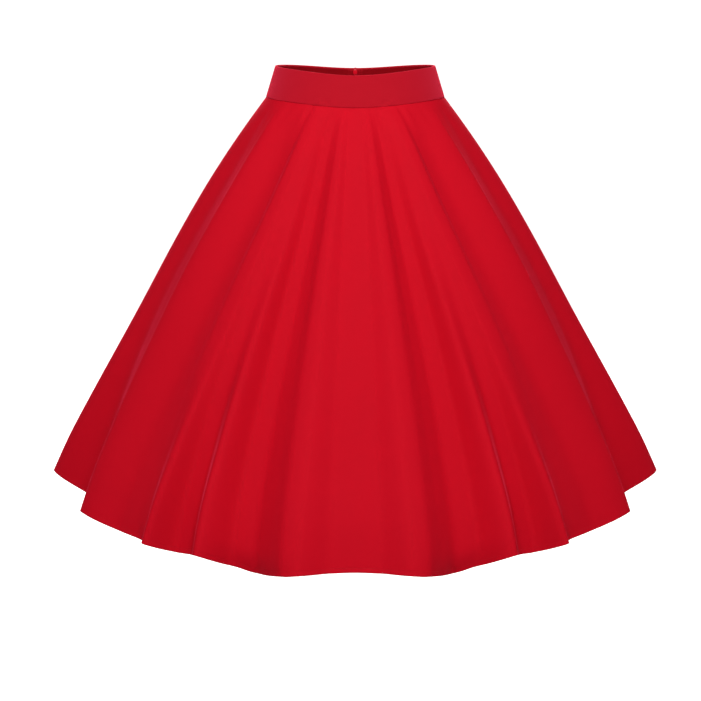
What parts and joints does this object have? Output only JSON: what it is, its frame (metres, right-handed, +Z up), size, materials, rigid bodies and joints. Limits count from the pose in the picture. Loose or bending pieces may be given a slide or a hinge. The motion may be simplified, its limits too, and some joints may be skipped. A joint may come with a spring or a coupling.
{
  "type": "flared skirt",
  "caption": "Knee-length flared skirt with a fitted waistband, soft standing flare folds, a turned hem and a concealed zip at the centre back, filled out as worn.",
  "frame": {"origin": "on the axis of the waist opening, half way up the waistband at its sides, which is where the wearer's waist holds the skirt", "axes": "+Z up out of the waist opening, -Y to the front, +X to the wearer's left"},
  "size_m": [0.9286, 0.6779, 0.6983],
  "materials": {
    "skirt_cloth": "red medium-weight cotton twill, matte with a slight sheen",
    "waistband_cloth": "the same red twill, doubled over a firm interlining",
    "zip_tape": "red woven zip tape",
    "zip_metal": "red gloss enamel"
  },
  "bodies": {
    "garment": {"skirt_front": "skirt_cloth", "skirt_back_left": "skirt_cloth", "skirt_back_right": "skirt_cloth", "waistband": "waistband_cloth", "zip_tape_left": "zip_tape", "zip_tape_right": "zip_tape", "zip_slider": "zip_metal"},
    "pull_tab": {"zip_pull": "zip_metal"}
  },
  "joints": [
    {"name": "pull_tab_swing", "type": "hinge", "parent": "garment", "child": "pull_tab", "pos_m": [0, 0.08814, 0.00821], "axis": [1, 0, 0], "range_deg": [0, 150]}
  ]
}
